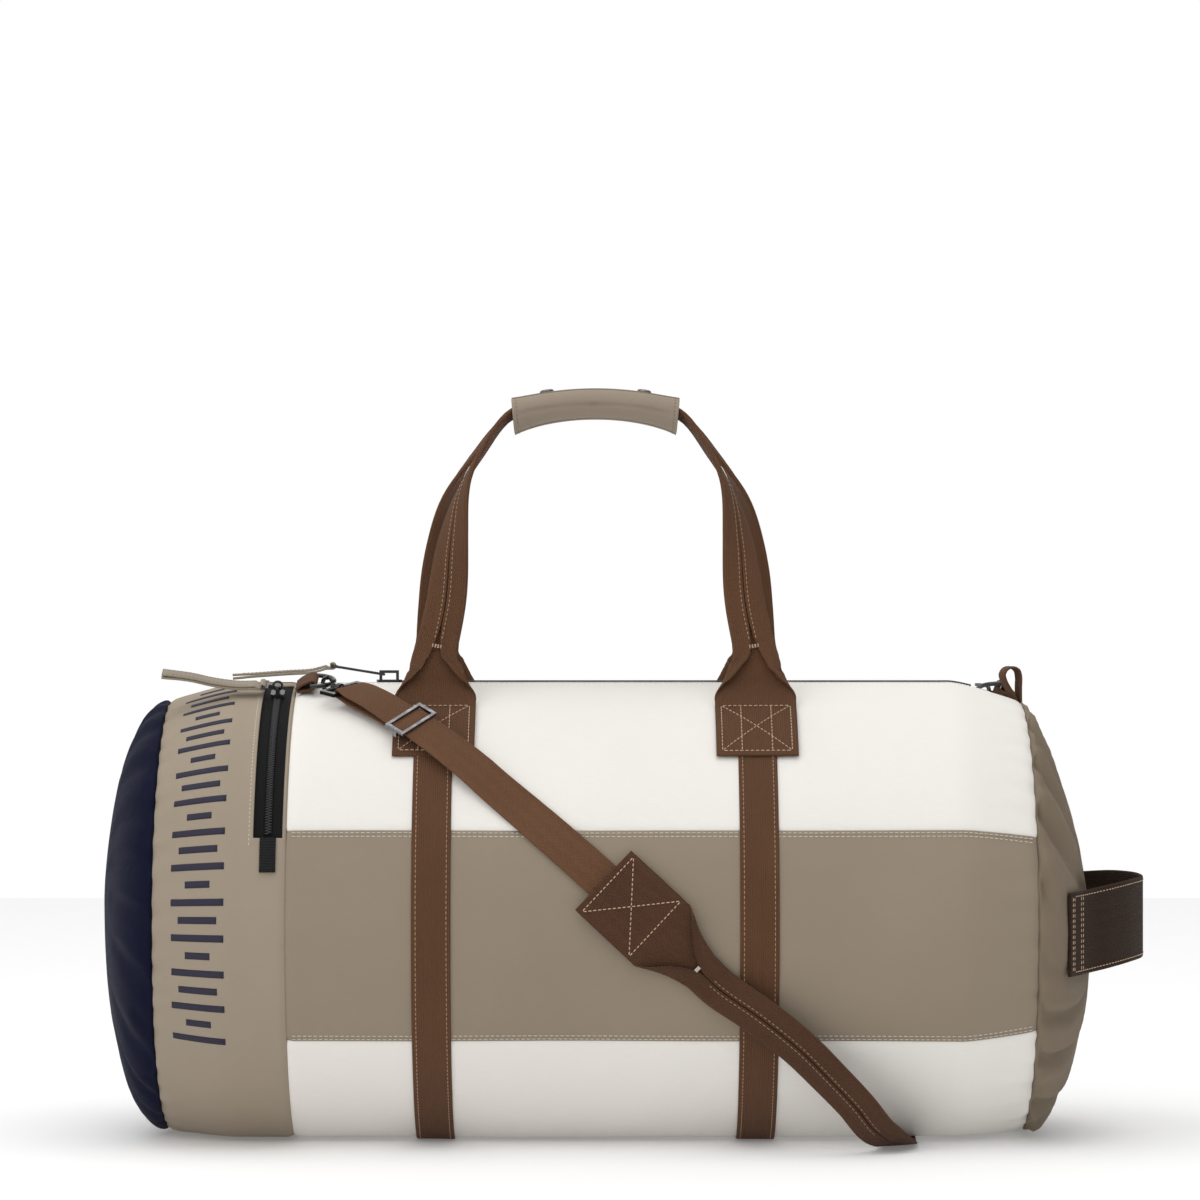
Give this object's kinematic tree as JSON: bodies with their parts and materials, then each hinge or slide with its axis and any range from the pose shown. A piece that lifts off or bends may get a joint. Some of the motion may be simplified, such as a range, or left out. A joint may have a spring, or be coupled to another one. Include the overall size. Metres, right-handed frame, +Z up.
{
  "type": "duffel bag",
  "caption": "Barrel duffel bag in banded canvas with a zipped cuff pocket, two folded webbing handles joined by a wrapped grip, an end handle and a clip-on shoulder strap.",
  "frame": {"origin": "on the ground, on the lowest line of the bag, under the middle between the two end seams", "axes": "+X along the bag towards the end with the webbing handle, -Y towards the front with the pocket zip, +Z up"},
  "size_m": [0.6891, 0.3209, 0.4975],
  "materials": {
    "cream_canvas": "dense cotton-nylon canvas, matt with a slight sheen",
    "khaki_canvas": "dense khaki canvas, fine weave",
    "navy_nylon": "navy nylon, soft sheen",
    "lining_cloth": "thin woven lining",
    "zip_black": "black coated zip tape and nylon coil",
    "brown_webbing": "brown ribbed webbing with tan stitching",
    "dark_webbing": "dark brown twill webbing",
    "gunmetal": "satin gunmetal plating",
    "black_metal": "gloss black coated steel"
  },
  "bodies": {
    "bag": {"upper_front_panel": "cream_canvas", "front_band": "khaki_canvas", "base_panel": "cream_canvas", "back_band": "khaki_canvas", "upper_back_panel": "cream_canvas", "cuff_panel": "khaki_canvas", "left_end_panel": "navy_nylon", "right_end_panel": "khaki_canvas", "lining": "lining_cloth", "main_zip_front_tape": "zip_black", "main_zip_back_tape": "zip_black", "main_zip_coil": "zip_black", "main_zip_stops": "gunmetal", "pocket_lining": "lining_cloth", "pocket_zip_tape": "zip_black", "pocket_zip_coil": "zip_black", "pocket_zip_tab": "zip_black", "left_girth_strap": "brown_webbing", "right_girth_strap": "brown_webbing", "front_left_handle_end": "brown_webbing", "front_right_handle_end": "brown_webbing", "back_left_handle_end": "brown_webbing", "back_right_handle_end": "brown_webbing", "end_handle": "dark_webbing", "end_loop": "brown_webbing", "left_ring_tab": "brown_webbing", "left_hook_eye": "black_metal", "right_ring_tab": "brown_webbing", "right_hook_eye": "black_metal", "strap_webbing": "brown_webbing", "strap_wide_webbing": "brown_webbing"},
    "main_slider": {"main_zip_slider": "black_metal"},
    "main_pull": {"main_zip_pull": "black_metal"},
    "main_puller": {"main_zip_puller": "khaki_canvas"},
    "pocket_slider": {"pocket_zip_slider": "black_metal"},
    "pocket_pull": {"pocket_zip_pull": "black_metal"},
    "pocket_puller": {"pocket_zip_puller": "khaki_canvas"},
    "front_handle": {"front_handle": "brown_webbing", "grip_pad": "khaki_canvas", "snap_studs": "gunmetal"},
    "back_handle": {"back_handle": "brown_webbing"},
    "grip_flap": {"grip_flap": "khaki_canvas", "snap_caps": "gunmetal"},
    "left_ring": {"left_d_ring": "black_metal"},
    "left_hook": {"left_hook": "black_metal"},
    "left_gate": {"left_hook_gate": "black_metal"},
    "right_ring": {"right_d_ring": "black_metal"},
    "right_hook": {"right_hook": "black_metal"},
    "right_gate": {"right_hook_gate": "black_metal"},
    "tri_glide": {"strap_tri_glide": "gunmetal"}
  },
  "joints": [
    {"name": "main_zip_slide", "type": "slide", "parent": "bag", "child": "main_slider", "axis": [1, 0, 0], "range_m": [0, 0.38]},
    {"name": "main_pull_swing", "type": "hinge", "parent": "main_slider", "child": "main_pull", "pos_m": [-0.1409, 0, 0.3044], "axis": [0, 1, 0], "range_deg": [0, 150]},
    {"name": "main_puller_swing", "type": "hinge", "parent": "main_pull", "child": "main_puller", "pos_m": [-0.17544, 0, 0.31006], "axis": [0, 1, 0], "range_deg": [0, 40]},
    {"name": "pocket_zip_slide", "type": "hinge", "parent": "bag", "child": "pocket_slider", "pos_m": [-0.2085, 0, 0.1445], "axis": [1, 0, 0], "range_deg": [0, 45]},
    {"name": "pocket_pull_swing", "type": "hinge", "parent": "pocket_slider", "child": "pocket_pull", "pos_m": [-0.2085, -0.04978, 0.29772], "axis": [0, 0.9511, 0.309], "range_deg": [0, 100]},
    {"name": "pocket_puller_swing", "type": "hinge", "parent": "pocket_pull", "child": "pocket_puller", "pos_m": [-0.21848, -0.05, 0.29838], "axis": [0, 0.9511, 0.309], "range_deg": [0, 50]},
    {"name": "front_handle_swing", "type": "hinge", "parent": "bag", "child": "front_handle", "pos_m": [0, -0.06382, 0.28784], "axis": [1, 0, 0], "range_deg": [0, 95], "deforming": ["grip_flap"]},
    {"name": "back_handle_swing", "type": "hinge", "parent": "bag", "child": "back_handle", "pos_m": [0, 0.06382, 0.28784], "axis": [-1, 0, 0], "range_deg": [0, 95], "deforming": ["grip_flap"]},
    {"name": "grip_flap_open", "type": "hinge", "parent": "front_handle", "child": "grip_flap", "pos_m": [0, 0.00615, 0.47566], "axis": [-1, 0, 0], "range_deg": [0, 110], "deforming": ["grip_flap"]},
    {"name": "left_ring_swing", "type": "hinge", "parent": "bag", "child": "left_ring", "pos_m": [-0.186, -0.03895, 0.30072], "axis": [0, 0.9703, 0.2419], "range_deg": [-6, 6]},
    {"name": "right_ring_swing", "type": "hinge", "parent": "bag", "child": "right_ring", "pos_m": [0.272, 0.03741, 0.29453], "axis": [0, 0.9703, -0.2419], "range_deg": [-6, 6]},
    {"name": "left_hook_swivel", "type": "hinge", "parent": "bag", "child": "left_hook", "pos_m": [-0.17576, -0.04821, 0.29841], "axis": [0.7314, -0.6617, -0.165], "range_deg": [-8, 8]},
    {"name": "right_hook_swivel", "type": "hinge", "parent": "bag", "child": "right_hook", "pos_m": [0.263, 0.04781, 0.29194], "axis": [-0.6428, 0.7433, -0.1853], "range_deg": [-8, 8]},
    {"name": "left_gate_open", "type": "hinge", "parent": "left_hook", "child": "left_gate", "pos_m": [-0.17203, -0.05239, 0.30077], "axis": [-0.682, -0.7096, -0.1769], "range_deg": [0, 25], "stiffness_Nm_per_rad": 0.01, "springref_deg": -11.46},
    {"name": "right_gate_open", "type": "hinge", "parent": "right_hook", "child": "right_gate", "pos_m": [0.25972, 0.0524, 0.2942], "axis": [0.766, 0.6237, -0.1555], "range_deg": [0, 25], "stiffness_Nm_per_rad": 0.01, "springref_deg": -11.46},
    {"name": "tri_glide_slide", "type": "slide", "parent": "bag", "child": "tri_glide", "axis": [0.7254, -0.5536, -0.4091], "range_m": [-0.006, 0.006]}
  ]
}
